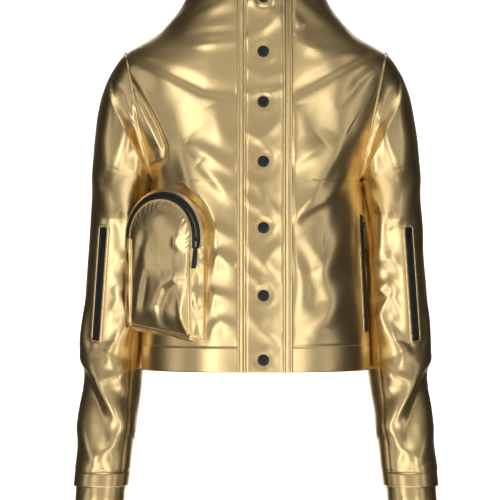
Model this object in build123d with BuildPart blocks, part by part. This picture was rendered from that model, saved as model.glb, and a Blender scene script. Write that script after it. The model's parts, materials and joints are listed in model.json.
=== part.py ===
"""Cropped snap-front jacket in laminated cloth, filled out as if it were worn.

Frame: millimetres, +Z up, the front faces -Y, +X is the wearer's left.
The origin is the middle of the hang loop inside the back of the neck.
"""

import os
from math import cos, pi, radians, sin, sqrt, tan

from build123d import *

os.makedirs("parts", exist_ok=True)

# ---------------------------------------------------------------- driving dimensions
CLOTH = 1.4  # laminated shell cloth
FACING = 1.0  # lighter cloth on the inside
SEAM_GAP = 0.3  # clearance between pieces that are sewn together
PLY_GAP = 0.1  # clearance between two plies of one piece

COLLAR_TOP = 80.0
NECK_SEAM = 0.0
SHOULDER = (183.4, -79.8)  # x and z of the shoulder point
UNDERARM = (145.6, -266.0)  # x and z of the underarm point
HEM_STITCH = -494.0
HEM = -530.0
SIDE_SEAM_Y = -55.0

# The centre front is one straight line from hem to collar, leaning back towards the neck.
FRONT_LEAN = 4.0
FRONT_AT_NECK = -137.0

# Height, half width and back of the body's oval cross-sections, from the collar down.
TORSO = [
    (COLLAR_TOP, 84.0, 8.0),
    (NECK_SEAM, 95.0, 6.0),
    (-28.0, 111.0, 15.0),
    (-53.0, 133.5, 26.0),
    (-67.0, 153.0, 32.0),
    (-80.0, 181.0, 37.0),
    (-92.0, 195.0, 41.0),
    (-110.0, 202.0, 46.0),
    (-150.0, 198.0, 54.0),
    (-220.0, 171.0, 60.0),
    (UNDERARM[1], 149.0, 57.0),
    (-333.0, 152.5, 50.0),
    (HEM_STITCH, 160.0, 50.0),
    (HEM, 161.0, 52.0),
]

# Sleeve head: sections that fan round the underarm, from the armhole down to level.
# Degrees above level, reach out from the underarm, half depth.
SLEEVE_HEAD = [
    (78.5, 190.0, 56.0),
    (66.0, 161.0, 58.0),
    (52.0, 124.0, 58.0),
    (34.0, 99.0, 56.0),
    (14.0, 88.5, 54.0),
]
SLEEVE_HEAD_Y = -45.0
# The arm below: height, inner x, outer x, middle y, half depth.
SLEEVE_ARM = [
    (-271.0, 151.0, 233.0, -37.0, 53.0),
    (-310.0, 149.0, 237.0, -20.0, 51.0),
    (-500.0, 154.5, 248.0, -18.0, 47.0),
    (-560.0, 163.0, 246.0, -28.0, 45.0),
    (-613.0, 170.0, 250.0, -44.0, 43.0),
    (-693.0, 180.0, 257.0, -66.0, 40.0),
]
CUFF_TOP = -678.0
CUFF_END = -728.0
CUFF_STEP = 3.0  # the cuff is this much smaller than the sleeve all round
# The two-piece sleeve's seams lie in one plane: x at two heights.
SLEEVE_SEAM = ((158.0, -266.0), (189.0, -690.0))

# Front closing: the snap flap covers the edge where the two fronts meet.
FLAP_EDGE = -17.5  # the sewn edge, which the flap swings on
FLAP_FREE = 41.3
FRONT_EDGE = -12.0  # where the two fronts meet under the flap
STUD_BAND = (-8.0, 51.0)
SNAP_X = 9.8
SNAP_HEIGHTS = [59.0, -11.0, -87.0, -157.0, -239.5, -331.0, -424.5, -513.0]

# Layers of the closing, as distances out from the body's surface.
SEAM_BAND_LAYER = (0.3, 1.5)
STUD_BAND_LAYER = (0.3, 1.3)
FLAP_SEAM_LAYER = (1.8, 4.6)
FLAP_FACING_LAYER = (4.7, 5.5)
FLAP_OUTER_LAYER = (5.6, 6.6)

# Arched pocket on the wearer's right front.
POCKET_TURN = 35.0  # turned this far towards the side
POCKET_CENTRE = (-133.8, -130.0, -344.4)  # centre of the arch on the pocket's face
POCKET_REACH = 53.2  # half width of the face, and the arch's radius
POCKET_FLARE = 15.0  # the zip's wall spreads by this much from the face
POCKET_DEPTH = 10.0
POCKET_WALL = 1.3
POCKET_DROP = (123.0, 138.6)  # from the arch's centre to the sloping bottom, outer and inner side

# Zip fasteners: two tapes with a coil behind each, and a slider that straddles them.
TAPE_SLOT = 1.2
TAPE_WIDTH = 4.6
TAPE_THICK = 0.8
COIL_WIDTH = 1.6
COIL_THICK = 1.2
COIL_PITCH = 4.0
SLIDER = (8.0, 12.0)  # across and along
SLIDER_PLATE = 1.0
SLIDER_POST = 0.7
PIN_HEIGHT = 3.6
PIN_RADIUS = 0.5
PIN_CLEARANCE = 0.08
STOP = (3.2, 1.4)

pieces = {}


# ---------------------------------------------------------------- helpers
def between(levels, height):
    """Row of sizes at a height, straight between the two levels round it."""
    for upper, lower in zip(levels, levels[1:]):
        if upper[0] >= height >= lower[0]:
            share = (upper[0] - height) / (upper[0] - lower[0])
            return [u + (l - u) * share for u, l in zip(upper, lower)]
    raise ValueError(f"no level at {height}")


def front_y(height):
    return FRONT_AT_NECK + height * tan(radians(FRONT_LEAN))


def oval_points(half_x, half_y, count=16):
    return [(half_x * cos(2 * pi * i / count), half_y * sin(2 * pi * i / count)) for i in range(count)]


def lofted(sections):
    """Solid through ovals, each a plane with half sizes along its x and y."""
    with BuildPart() as solid:
        for plane, half_x, half_y in sections:
            with BuildSketch(plane):
                with BuildLine():
                    Spline(*oval_points(half_x, half_y), periodic=True)
                make_face()
        loft(ruled=True)
    return solid.part


def torso_solid(grow, sink=0.0, overrun=0.0):
    """Everything inside the body's surface, grown outwards, with its sections lowered by sink."""
    sections = []
    for index, (height, half_width, back) in enumerate(TORSO):
        middle = (front_y(height) + back) / 2
        half_depth = (back - front_y(height)) / 2
        level = height + overrun if index == 0 else height - sink
        sections.append((Plane((0, middle, level)), half_width + grow, half_depth + grow))
    return lofted(sections)


def torso_point(height, angle):
    """Point on the body's surface. Angle 0 is the wearer's left side and -90 the centre front."""
    _, half_width, back = between(TORSO, height)
    middle, half_depth = (front_y(height) + back) / 2, (back - front_y(height)) / 2
    return Vector(half_width * cos(radians(angle)), middle + half_depth * sin(radians(angle)), height)


def sleeve_solid(grow, sink=0.0, overrun=0.0):
    """Everything inside the left sleeve's surface, from the armhole to its hem."""
    pivot_x, pivot_z = UNDERARM[0] + SEAM_GAP + 0.2, UNDERARM[1] - SEAM_GAP
    sections = []
    for index, (rise, reach, half_depth) in enumerate(SLEEVE_HEAD):
        start = 2.0
        middle, half = (reach + start) / 2, (reach - start) / 2
        along = Vector(cos(radians(rise)), 0, sin(radians(rise)))
        normal = Vector(-sin(radians(rise)), 0, cos(radians(rise)))
        centre = Vector(pivot_x, SLEEVE_HEAD_Y, pivot_z) + along * middle
        if index == 0:
            centre = centre + normal * overrun
        sections.append((Plane(centre, x_dir=along, z_dir=normal), half + grow, half_depth + grow))
    for height, inner, outer, middle_y, half_depth in SLEEVE_ARM:
        level = height - sink
        plane = Plane(((inner + outer) / 2, middle_y, level))
        sections.append((plane, (outer - inner) / 2 + grow, half_depth + grow))
    with BuildPart() as solid:
        add(lofted(sections[:3]))
        add(lofted(sections[2:]))
    return solid.part


def sleeve_point(height, angle):
    """Point on the left sleeve's surface below the head. Angle 0 is outwards and -90 the front."""
    _, inner, outer, middle_y, half_depth = between(SLEEVE_ARM, height)
    x = (inner + outer) / 2 + (outer - inner) / 2 * cos(radians(angle))
    return Vector(x, middle_y + half_depth * sin(radians(angle)), height)


def strip_plane(bottom, top, outward, lift=0.0):
    """Plane of a strip that runs up from bottom to top: x across, y up along it, z outwards."""
    up = (top - bottom).normalized()
    across = up.cross(outward).normalized()
    normal = across.cross(up)
    return Plane(bottom + normal * lift, x_dir=across, z_dir=normal)


def block(low, high, mode=Mode.ADD):
    """Box between two corners, in the active builder."""
    with Locations(tuple((a + b) / 2 for a, b in zip(low, high))):
        Box(*[b - a for a, b in zip(low, high)], mode=mode)


def keep(name, builder):
    """Labels a finished piece and queues it for writing."""
    builder.part.label = name
    pieces[name] = builder.part


# ---------------------------------------------------------------- body cloth
WIDE = 400.0  # further than the jacket reaches

body_outside = torso_solid(0)
body_inside = torso_solid(-CLOTH, sink=1.2, overrun=1.0)
facing_outside = torso_solid(-CLOTH - SEAM_GAP, sink=1.2, overrun=0.5)
facing_inside = torso_solid(-CLOTH - SEAM_GAP - FACING, sink=2.2, overrun=1.0)

with BuildPart() as armhole_cut:
    for side in (1, -1):
        with BuildSketch(Plane.XZ.offset(-WIDE / 2)):
            with BuildLine():
                Polyline(
                    (side * (SHOULDER[0] + 4.0), SHOULDER[1] + 19.7),
                    (side * UNDERARM[0], UNDERARM[1]),
                    (side * (UNDERARM[0] + 1.0), UNDERARM[1] - 4.0),
                    (side * WIDE, UNDERARM[1] - 4.0),
                    (side * WIDE, SHOULDER[1] + 19.7),
                    close=True,
                )
            make_face()
        extrude(amount=WIDE)

with BuildPart() as body_shell:
    add(body_outside)
    add(body_inside, mode=Mode.SUBTRACT)
    add(armhole_cut.part, mode=Mode.SUBTRACT)

with BuildPart() as facing_shell:
    add(facing_outside)
    add(facing_inside, mode=Mode.SUBTRACT)


def snap_planes():
    """One plane for each snap, on the front line, facing out."""
    planes = []
    for height in SNAP_HEIGHTS:
        _, half_width, back = between(TORSO, height)
        half_depth = (back - front_y(height)) / 2
        rise = sqrt(1 - (SNAP_X / half_width) ** 2)
        outward = Vector(SNAP_X / half_width**2, -rise / half_depth, tan(radians(FRONT_LEAN)) / half_depth)
        point = (SNAP_X, (front_y(height) + back) / 2 - half_depth * rise, height)
        planes.append(Plane(point, x_dir=outward.cross(Vector(0, 0, 1)) * -1, z_dir=outward))
    return planes


SNAPS = snap_planes()
POST_RADIUS = 1.5


def snap_holes():
    """Cuts the snaps' post holes through whatever the active builder holds."""
    with Locations(*SNAPS):
        Cylinder(POST_RADIUS + 0.2, 40, mode=Mode.SUBTRACT)


# ---------------------------------------------------------------- zip fasteners
def zip_window(plane, length):
    """Cuts the opening that a straight zip is set in, in the active builder."""
    with Locations(plane):
        with Locations((0, length / 2, 0)):
            Box(2 * TAPE_WIDTH + TAPE_SLOT + 1.6, length + 6.0, 16.0, mode=Mode.SUBTRACT)


def zip_welt(plane, length):
    """Stitched cloth frame round a straight zip."""
    window = (2 * TAPE_WIDTH + TAPE_SLOT + 0.4, length + 3.4)
    with BuildPart() as welt:
        with BuildSketch(plane.offset(-0.3)):
            with Locations((0, length / 2)):
                RectangleRounded(window[0] + 8.0, window[1] + 8.0, 3.0)
                Rectangle(*window, mode=Mode.SUBTRACT)
        extrude(amount=1.2)
    return welt


def zip_tape(plane, length):
    with BuildPart() as tape:
        with BuildSketch(plane):
            with Locations((0, length / 2)):
                with GridLocations(TAPE_SLOT + TAPE_WIDTH, 1, 2, 1):
                    Rectangle(TAPE_WIDTH, length + 3.0)
        extrude(amount=TAPE_THICK)
    return tape


def zip_coil(plane, length):
    """Two rows of coil behind the tapes, notched at the coil's pitch."""
    rows = (TAPE_SLOT + COIL_WIDTH) / 2
    with BuildPart() as coil:
        with BuildSketch(plane.offset(-PLY_GAP)):
            with Locations((0, length / 2)):
                with GridLocations(2 * rows, 1, 2, 1):
                    Rectangle(COIL_WIDTH, length)
        extrude(amount=-COIL_THICK)
        with Locations(plane.offset(-PLY_GAP - COIL_THICK)):
            with Locations((0, length / 2)):
                with GridLocations(2 * rows, COIL_PITCH, 2, int(length / COIL_PITCH) - 1):
                    Box(COIL_WIDTH + 1, COIL_PITCH * 0.35, 1.0, mode=Mode.SUBTRACT)
    return coil


def zip_stops(plane, length):
    """Crimped stops at both ends, one on each tape."""
    with BuildPart() as stops:
        with BuildSketch(plane.offset(TAPE_THICK + 0.05)):
            with Locations((0, length / 2)):
                with GridLocations(TAPE_SLOT + STOP[0], length - STOP[1] - 0.2, 2, 2):
                    Rectangle(*STOP)
        extrude(amount=1.0)
    return stops


def zip_slider(plane):
    """Slider round both tapes: two wings, the post between them and ears for the puller's pin."""
    ear_height = PIN_HEIGHT + 1.2
    with BuildPart() as slider:
        wing_low, wing_high = TAPE_THICK + 0.4, TAPE_THICK + 0.4 + SLIDER_PLATE
        back_high = -PLY_GAP - COIL_THICK - 0.5
        with BuildSketch(plane.offset(wing_low)):
            RectangleRounded(SLIDER[0], SLIDER[1], 2.2)
        extrude(amount=SLIDER_PLATE)
        with BuildSketch(plane.offset(back_high)):
            RectangleRounded(SLIDER[0], SLIDER[1], 2.2)
        extrude(amount=-SLIDER_PLATE)
        with BuildSketch(plane.offset(back_high)):
            Rectangle(SLIDER_POST, 4.0)
        extrude(amount=wing_low - back_high)
        with BuildSketch(plane.offset(wing_high)):
            with GridLocations(3.8, 1, 2, 1):
                Rectangle(0.9, 2.6)
        extrude(amount=ear_height - wing_high)
        with Locations(plane.offset(PIN_HEIGHT)):
            Cylinder(PIN_RADIUS + PIN_CLEARANCE, 9.0, rotation=(0, 90, 0), mode=Mode.SUBTRACT)
    return slider


def puller_link(pin_plane, length=5.0):
    """Metal tongue between the slider's ears, with its pin. It hangs towards -y of its plane."""
    with BuildPart() as link:
        with Locations(pin_plane):
            Cylinder(PIN_RADIUS, 4.6, rotation=(0, 90, 0))
            Cylinder(0.8, 2.6, rotation=(0, 90, 0))
            with Locations((0, -length / 2, 0)):
                Box(2.6, length, 1.2)
    return link


def puller_grip(pin_plane, start, size):
    """Moulded grip on the end of the link: width, length and thickness in size."""
    with BuildPart() as grip:
        with BuildSketch(pin_plane.offset(-size[2] / 2)):
            with Locations((0, -start - size[1] / 2)):
                RectangleRounded(size[0], size[1], 1.2)
        extrude(amount=size[2])
    return grip


def add_zip(name, plane, length, slider_at):
    """All pieces of one straight zip, apart from its puller."""
    keep(f"{name}_tape", zip_tape(plane, length))
    keep(f"{name}_coil", zip_coil(plane, length))
    keep(f"{name}_stops", zip_stops(plane, length))
    keep(f"{name}_slider", zip_slider(raised(plane, slider_at)))


def raised(plane, along, out=0.0):
    """The plane moved along its own y and z."""
    moved = plane.origin + plane.y_dir * along + plane.z_dir * out
    return Plane(moved, x_dir=plane.x_dir, z_dir=plane.z_dir)


def swung(plane, angle):
    """The plane turned about its own x, so that what hangs towards -y swings outwards."""
    tilted = plane.z_dir * cos(radians(angle)) + plane.y_dir * sin(radians(angle))
    return Plane(plane.origin, x_dir=plane.x_dir, z_dir=tilted)


# ---------------------------------------------------------------- placing the straight zips
SIDE_ZIP_LENGTH = 160.0
SIDE_ZIP_ANGLE = -14.0
SLEEVE_ZIP_LENGTH = 156.0
SLEEVE_ZIP_ANGLES = (-56.5, -61.0)  # lower end and upper end
SLIDER_INSET = 9.0  # from the zip's upper end to the middle of the parked slider

side_low, side_high = torso_point(-474, SIDE_ZIP_ANGLE), torso_point(-314, SIDE_ZIP_ANGLE)
SIDE_ZIP = strip_plane(side_low, side_high, Vector(0.941, -0.338, 0), lift=1.4)
sleeve_low, sleeve_high = sleeve_point(-487, SLEEVE_ZIP_ANGLES[0]), sleeve_point(-331, SLEEVE_ZIP_ANGLES[1])
SLEEVE_ZIP = strip_plane(sleeve_low, sleeve_high, Vector(0.55, -0.835, 0), lift=0.9)
SIDE_PIN = raised(SIDE_ZIP, SIDE_ZIP_LENGTH - SLIDER_INSET, PIN_HEIGHT)
SLEEVE_PIN = raised(SLEEVE_ZIP, SLEEVE_ZIP_LENGTH - SLIDER_INSET, PIN_HEIGHT)

# ---------------------------------------------------------------- body panels
HALF_GAP = SEAM_GAP / 2
FRONTS_END = SIDE_SEAM_Y - HALF_GAP
PANEL_TOP = NECK_SEAM - HALF_GAP

with BuildPart() as front_right_panel:
    add(body_shell.part)
    block((-WIDE, -WIDE, HEM - 1), (FRONT_EDGE - HALF_GAP, FRONTS_END, PANEL_TOP), Mode.INTERSECT)
keep("front_right_panel", front_right_panel)

with BuildPart() as front_left_panel:
    add(body_shell.part)
    block((FRONT_EDGE + HALF_GAP, -WIDE, HEM - 1), (WIDE, FRONTS_END, PANEL_TOP), Mode.INTERSECT)
    snap_holes()
    zip_window(SIDE_ZIP, SIDE_ZIP_LENGTH)
keep("front_left_panel", front_left_panel)

with BuildPart() as back_panel:
    add(body_shell.part)
    block((-WIDE, SIDE_SEAM_Y + HALF_GAP, HEM - 1), (WIDE, WIDE, PANEL_TOP), Mode.INTERSECT)
keep("back_panel", back_panel)

with BuildPart() as collar:
    add(body_shell.part)
    block((-WIDE, -WIDE, NECK_SEAM + HALF_GAP), (WIDE, WIDE, COLLAR_TOP + 1), Mode.INTERSECT)
    # slit where the two ends of the collar meet
    slit_low = (FRONT_EDGE - HALF_GAP, -WIDE, NECK_SEAM)
    slit_high = (FRONT_EDGE + HALF_GAP, FRONT_AT_NECK + 30, WIDE)
    block(slit_low, slit_high, Mode.SUBTRACT)
    snap_holes()
keep("collar", collar)

with BuildPart() as collar_facing:
    add(facing_shell.part)
    block((-WIDE, -100, NECK_SEAM + 2), (WIDE, WIDE, COLLAR_TOP - 1), Mode.INTERSECT)
keep("collar_facing", collar_facing)

with BuildPart() as hem_facing:
    add(facing_shell.part)
    block((-WIDE, -WIDE, HEM - 1), (WIDE, WIDE, HEM_STITCH), Mode.INTERSECT)
    block((-30, -WIDE, HEM - 5), (30, -100, HEM_STITCH + 5), Mode.SUBTRACT)
keep("hem_facing", hem_facing)

# ---------------------------------------------------------------- back neck and hang loop
NECK_FACING = (-62.0, -1.0)
LOOP_SPAN = 56.0
LOOP_WIDTH = 7.0
LOOP_TAPE = 1.0

with BuildPart() as back_neck_facing:
    add(facing_shell.part)
    block((-70, -40, NECK_FACING[0]), (70, WIDE, NECK_FACING[1]), Mode.INTERSECT)
keep("back_neck_facing", back_neck_facing)

with BuildPart() as hang_loop:
    with BuildSketch(Plane.XY.offset(-LOOP_WIDTH / 2)):
        with BuildLine():
            ends = Polyline((-LOOP_SPAN / 2, -1.1), (-LOOP_SPAN / 2 + 8, -0.4), (-LOOP_SPAN / 2 + 15, -5.2))
            bow = ThreePointArc(ends @ 1, (0, -9.0), (LOOP_SPAN / 2 - 15, -5.2))
            Polyline(bow @ 1, (LOOP_SPAN / 2 - 8, -0.4), (LOOP_SPAN / 2, -1.1))
            offset(amount=LOOP_TAPE / 2, side=Side.BOTH)
        make_face()
    extrude(amount=LOOP_WIDTH)
keep("hang_loop", hang_loop)

# ---------------------------------------------------------------- closing: bands, flap and snaps


def closing_strip(layer, left, right, bottom, top):
    """Strip that follows the body's front between two distances out from it."""
    with BuildPart() as strip:
        add(torso_solid(layer[1]))
        add(torso_solid(layer[0], overrun=1.0), mode=Mode.SUBTRACT)
        block((left, -WIDE, bottom), (right, FRONT_AT_NECK + 40, top), Mode.INTERSECT)
    return strip


FLAP_ENDS = (HEM + 0.2, COLLAR_TOP - 0.2)

keep("placket_seam_band", closing_strip(SEAM_BAND_LAYER, FLAP_EDGE - 9.0, FRONT_EDGE + 2.0, *FLAP_ENDS))

with BuildPart() as stud_band:
    add(closing_strip(STUD_BAND_LAYER, *STUD_BAND, *FLAP_ENDS).part)
    snap_holes()
keep("stud_band", stud_band)

with BuildPart() as flap_outer:
    add(closing_strip(FLAP_OUTER_LAYER, FLAP_EDGE, FLAP_FREE, *FLAP_ENDS).part)
    snap_holes()
keep("flap_outer", flap_outer)

with BuildPart() as flap_facing:
    add(closing_strip(FLAP_FACING_LAYER, FLAP_EDGE, FLAP_FREE - 0.5, *FLAP_ENDS).part)
    snap_holes()
keep("flap_facing", flap_facing)

keep("flap_seam_allowance", closing_strip(FLAP_SEAM_LAYER, FLAP_EDGE, FLAP_EDGE + 7.0, *FLAP_ENDS))


def at_snaps(*outline):
    """Turned part, from an outline of (radius, distance out from the front line), set at every snap."""
    with BuildPart() as turned:
        with BuildSketch(Plane.XZ):
            with BuildLine():
                Polyline(*outline, close=True)
            make_face()
        revolve(axis=Axis.Z)
    with BuildPart() as group:
        with Locations(*SNAPS):
            add(turned.part)
    return group


CAP_RADIUS = 8.0
CAP_SEAT = FLAP_OUTER_LAYER[1] + 0.1
SOCKET = (2.0, 4.0)  # back and front of the socket, out from the front line
SOCKET_RADIUS = 5.8
STUD_BASE = (1.4, 1.8)
STUD_TOP = 3.5

keep(
    "snap_caps",
    at_snaps(
        (0, CAP_SEAT),
        (CAP_RADIUS - 0.6, CAP_SEAT),
        (CAP_RADIUS, CAP_SEAT + 0.5),
        (CAP_RADIUS - 0.5, CAP_SEAT + 1.1),
        (CAP_RADIUS - 2.2, CAP_SEAT + 1.5),
        (0, CAP_SEAT + 1.6),
    ),
)
keep(
    "snap_rivets",
    at_snaps(
        (0, SOCKET[1] + 0.05),
        (POST_RADIUS, SOCKET[1] + 0.05),
        (POST_RADIUS, CAP_SEAT - 0.05),
        (0, CAP_SEAT - 0.05),
    ),
)
keep(
    "snap_sockets",
    at_snaps(
        (3.3, SOCKET[0]),
        (SOCKET_RADIUS - 0.4, SOCKET[0]),
        (SOCKET_RADIUS, SOCKET[0] + 0.4),
        (SOCKET_RADIUS, SOCKET[1]),
        (0, SOCKET[1]),
        (0, SOCKET[1] - 0.4),
        (3.3, SOCKET[1] - 0.4),
    ),
)
keep(
    "snap_springs",
    at_snaps(
        (2.95, SOCKET[0] + 0.5),
        (3.25, SOCKET[0] + 0.5),
        (3.25, SOCKET[0] + 0.95),
        (2.95, SOCKET[0] + 0.95),
    ),
)
keep(
    "snap_studs",
    at_snaps(
        (0, STUD_BASE[0]),
        (5.0, STUD_BASE[0]),
        (5.0, STUD_BASE[1]),
        (2.2, STUD_BASE[1]),
        (2.2, STUD_BASE[1] + 0.6),
        (2.6, STUD_BASE[1] + 0.9),
        (2.6, STUD_TOP - 0.4),
        (2.2, STUD_TOP),
        (0, STUD_TOP),
    ),
)
keep(
    "snap_posts",
    at_snaps(
        (0, -3.0),
        (4.6, -3.0),
        (5.0, -2.7),
        (5.0, -2.4),
        (POST_RADIUS, -2.4),
        (POST_RADIUS, STUD_BASE[0] - 0.05),
        (0, STUD_BASE[0] - 0.05),
    ),
)

# ---------------------------------------------------------------- side pocket on the wearer's left
add_zip("side_zip", SIDE_ZIP, SIDE_ZIP_LENGTH, SIDE_ZIP_LENGTH - SLIDER_INSET)
keep("side_zip_welt", zip_welt(SIDE_ZIP, SIDE_ZIP_LENGTH))
keep("side_puller_link", puller_link(SIDE_PIN))
keep("side_puller_grip", puller_grip(SIDE_PIN, 5.1, (6.0, 30.0, 1.8)))

BAG_MOUTH, BAG_END = Vector(139.0, -74.0, 0), Vector(72.0, -136.0, 0)
BAG_HEIGHTS = (-478.0, -318.0)
BAG_PLY = 0.6
BAG_THICK = 4.4
with BuildPart() as side_pocket_bag:
    along = (BAG_END - BAG_MOUTH).normalized()
    bag_plane = Plane(BAG_MOUTH + Vector(0, 0, BAG_HEIGHTS[0]), x_dir=along, z_dir=(0, 0, 1))
    bag_length = (BAG_END - BAG_MOUTH).length
    bag_height = BAG_HEIGHTS[1] - BAG_HEIGHTS[0]
    with BuildSketch(bag_plane):
        with Locations((bag_length / 2, 0)):
            Rectangle(bag_length, BAG_THICK)
    extrude(amount=bag_height)
    with BuildSketch(bag_plane.offset(BAG_PLY)):
        with Locations((bag_length / 2 - BAG_PLY, 0)):
            Rectangle(bag_length, BAG_THICK - 2 * BAG_PLY)
    extrude(amount=bag_height - 2 * BAG_PLY, mode=Mode.SUBTRACT)
keep("side_pocket_bag", side_pocket_bag)

# ---------------------------------------------------------------- sleeves
sleeve_outside = sleeve_solid(0)
sleeve_inside = sleeve_solid(-CLOTH, sink=1.0, overrun=0.5)

with BuildPart() as sleeve_shell:
    add(sleeve_outside)
    add(sleeve_inside, mode=Mode.SUBTRACT)

(seam_x_high, seam_z_high), (seam_x_low, seam_z_low) = SLEEVE_SEAM
seam_run = Vector(seam_x_low - seam_x_high, 0, seam_z_low - seam_z_high).normalized()
seam_across = seam_run.cross(Vector(0, 1, 0))
SEAM_PLANE = Plane((seam_x_high, SLEEVE_HEAD_Y, seam_z_high), x_dir=seam_run, z_dir=seam_across)

with BuildPart() as sleeve_upper:
    add(sleeve_shell.part)
    split(bisect_by=SEAM_PLANE.offset(SEAM_GAP / 2), keep=Keep.TOP)
    zip_window(SLEEVE_ZIP, SLEEVE_ZIP_LENGTH)

with BuildPart() as sleeve_under:
    add(sleeve_shell.part)
    split(bisect_by=SEAM_PLANE.offset(-SEAM_GAP / 2), keep=Keep.BOTTOM)

with BuildPart() as sleeve_cuff:
    upper_cuff = between(SLEEVE_ARM, CUFF_TOP)
    lower_cuff = [CUFF_END, 183.5, 258.5, -75.5, 38.5]
    for grow, mode in ((-CUFF_STEP, Mode.ADD), (-CUFF_STEP - CLOTH, Mode.SUBTRACT)):
        for height, inner, outer, middle_y, half_depth in (upper_cuff, lower_cuff):
            with BuildSketch(Plane(((inner + outer) / 2, middle_y, height))):
                with BuildLine():
                    Spline(*oval_points((outer - inner) / 2 + grow, half_depth + grow), periodic=True)
                make_face()
        loft(ruled=True, mode=mode)


def both_sides(name, part):
    """Keeps a piece of the left sleeve and its mirror image for the right one."""
    with BuildPart() as left:
        add(part)
    with BuildPart() as right:
        add(mirror(part, about=Plane.YZ, mode=Mode.PRIVATE))
    keep(f"left_{name}", left)
    keep(f"right_{name}", right)


both_sides("sleeve_upper", sleeve_upper.part)
both_sides("sleeve_under", sleeve_under.part)
both_sides("sleeve_cuff", sleeve_cuff.part)
both_sides("sleeve_zip_welt", zip_welt(SLEEVE_ZIP, SLEEVE_ZIP_LENGTH).part)
both_sides("sleeve_zip_tape", zip_tape(SLEEVE_ZIP, SLEEVE_ZIP_LENGTH).part)
both_sides("sleeve_zip_coil", zip_coil(SLEEVE_ZIP, SLEEVE_ZIP_LENGTH).part)
both_sides("sleeve_zip_stops", zip_stops(SLEEVE_ZIP, SLEEVE_ZIP_LENGTH).part)
both_sides("sleeve_zip_slider", zip_slider(raised(SLEEVE_ZIP, SLEEVE_ZIP_LENGTH - SLIDER_INSET)).part)

with BuildPart() as sleeve_puller:
    add(puller_link(SLEEVE_PIN).part)
    add(puller_grip(SLEEVE_PIN, 3.0, (4.4, 13.0, 1.4)).part)
both_sides("sleeve_zip_puller", sleeve_puller.part)

# ---------------------------------------------------------------- arched pocket
turn = radians(POCKET_TURN)
POCKET = Plane(POCKET_CENTRE, x_dir=(cos(turn), -sin(turn), 0), z_dir=(-sin(turn), -cos(turn), 0))
POCKET_AXIS = Axis(POCKET.origin, POCKET.z_dir)
SLANT = sqrt(POCKET_FLARE**2 + POCKET_DEPTH**2)
LEAN_OUT, LEAN_BACK = POCKET_FLARE / SLANT, POCKET_DEPTH / SLANT
TRACK = (-14.0, 180.0)  # the zip's run round the arch, in degrees above the inner side
TRACK_MIDDLE = 7.6  # down the slanting wall from the face
SLIDER_PARK = -5.5
PULLER_SWING = 14.0


def pocket_outline(plane, reach, across=0.0, up=0.0):
    """Arched outline with a sloping bottom, on a plane parallel to the pocket's face."""
    more = (reach - POCKET_REACH) * 0.4
    with BuildSketch(plane) as outline:
        with BuildLine():
            arch = CenterArc((across, up), reach, 0, 180)
            outer_side = Line(arch @ 1, (across - reach, -POCKET_DROP[0] - more))
            bottom = Line(outer_side @ 1, (across + reach, -POCKET_DROP[1] - more))
            Line(bottom @ 1, arch @ 0)
        make_face()
    return outline.sketch


def pocket_solid(grow, front=0.0):
    """The pocket's outside, or its inside if grow is negative, running back into the body."""
    face = pocket_outline(POCKET.offset(front), POCKET_REACH + grow)
    base = pocket_outline(POCKET.offset(-POCKET_DEPTH), POCKET_REACH + POCKET_FLARE + grow)
    foot = pocket_outline(POCKET.offset(-POCKET_DEPTH - 40), POCKET_REACH - 4.2 + grow, across=19.2, up=8.0)
    with BuildPart() as solid:
        loft([face, base], ruled=True)
        loft([base, foot], ruled=True)
    return solid.part


def arch_plane(angle):
    """Plane through the arch's axis: x out along the radius at this angle, y along the pocket's normal."""
    radial = POCKET.x_dir * cos(radians(angle)) + POCKET.y_dir * sin(radians(angle))
    return Plane(POCKET.origin, x_dir=radial, z_dir=radial.cross(POCKET.z_dir))


def wall_point(down, out):
    """Point of the slanting wall's section: down it from the face, and out from it."""
    return (POCKET_REACH + down * LEAN_OUT + out * LEAN_BACK, -down * LEAN_BACK + out * LEAN_OUT)


def arch_band(down, out, start, span, mode=Mode.ADD):
    """Band round the arch, in the active builder: ranges down the wall and out from it."""
    with BuildSketch(arch_plane(start)) as section:
        with BuildLine():
            corners = [wall_point(down[0], out[0]), wall_point(down[1], out[0])]
            Polyline(*corners, wall_point(down[1], out[1]), wall_point(down[0], out[1]), close=True)
        make_face()
    revolve(section.sketch, axis=POCKET_AXIS, revolution_arc=span, mode=mode)


track_span = TRACK[1] - TRACK[0]
half_slot = TAPE_SLOT / 2
tape_edge = half_slot + TAPE_WIDTH

with BuildPart() as pocket_gusset:
    add(pocket_solid(0))
    add(pocket_solid(-POCKET_WALL), mode=Mode.SUBTRACT)
    add(torso_solid(0.4), mode=Mode.SUBTRACT)
    opening = (TRACK_MIDDLE - tape_edge - 0.4, TRACK_MIDDLE + tape_edge + 0.4)
    arch_band(opening, (-6, 5), TRACK[0] - 1, track_span + 2, Mode.SUBTRACT)
keep("pocket_gusset", pocket_gusset)

with BuildPart() as pocket_front:
    face = pocket_outline(POCKET.offset(-0.2), POCKET_REACH - POCKET_WALL - 0.1)
    extrude(face, amount=1.2, dir=-POCKET.z_dir)
keep("pocket_front", pocket_front)

with BuildPart() as pocket_zip_tape:
    for side in (-1, 1):
        edges = sorted((TRACK_MIDDLE + side * half_slot, TRACK_MIDDLE + side * tape_edge))
        arch_band(edges, (0, TAPE_THICK), TRACK[0], track_span)
keep("pocket_zip_tape", pocket_zip_tape)

with BuildPart() as pocket_zip_coil:
    for side in (-1, 1):
        edges = sorted((TRACK_MIDDLE + side * half_slot, TRACK_MIDDLE + side * (half_slot + COIL_WIDTH)))
        arch_band(edges, (-PLY_GAP - COIL_THICK, -PLY_GAP), TRACK[0] + 0.5, track_span - 1)
keep("pocket_zip_coil", pocket_zip_coil)

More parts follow.
